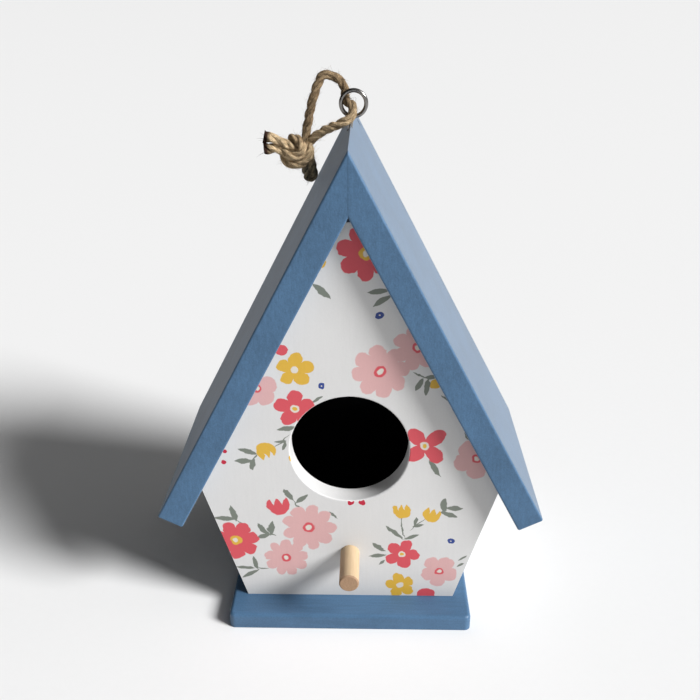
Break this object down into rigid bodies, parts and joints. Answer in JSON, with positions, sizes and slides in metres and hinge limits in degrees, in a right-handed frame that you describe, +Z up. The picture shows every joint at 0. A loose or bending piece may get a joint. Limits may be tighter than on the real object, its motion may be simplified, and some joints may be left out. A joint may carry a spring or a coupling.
{
  "type": "birdhouse",
  "caption": "Small gabled wooden birdhouse with a round entrance, a dowel perch, a steep board roof, a flat base and a twine hanging loop in a screw eye.",
  "frame": {"origin": "centre of the base's underside", "axes": "+Z up, -Y out of the front panel (entrance side), +X to the right seen from the front; the ridge runs along Y"},
  "size_m": [0.1244, 0.0925, 0.1758],
  "materials": {
    "white_paint": "white satin paint on board, printed with small flowers on the front",
    "blue_paint": "dusty blue satin paint on board",
    "bare_wood": "bare pale hardwood dowel",
    "eye_steel": "plated steel wire",
    "brad_steel": "bare steel wire",
    "jute": "natural three-strand jute twine"
  },
  "bodies": {
    "house": {"front_panel": "white_paint", "back_panel": "white_paint", "left_wall": "white_paint", "right_wall": "white_paint", "left_roof_board": "blue_paint", "right_roof_board": "blue_paint", "base_board": "blue_paint", "perch_dowel": "bare_wood", "screw_eye": "eye_steel", "left_roof_brads": "brad_steel", "right_roof_brads": "brad_steel", "wall_brads": "brad_steel", "base_brads": "brad_steel", "ridge_brad": "brad_steel"},
    "hanger": {"twine_loop": "jute", "twine_bight": "jute", "twine_tails": "jute", "twine_knot": "jute"}
  },
  "joints": [
    {"name": "twine_swing", "type": "hinge", "parent": "house", "child": "hanger", "pos_m": [0.0009, 0, 0.16549], "axis": [0, 1, 0], "range_deg": [0, 195]}
  ]
}
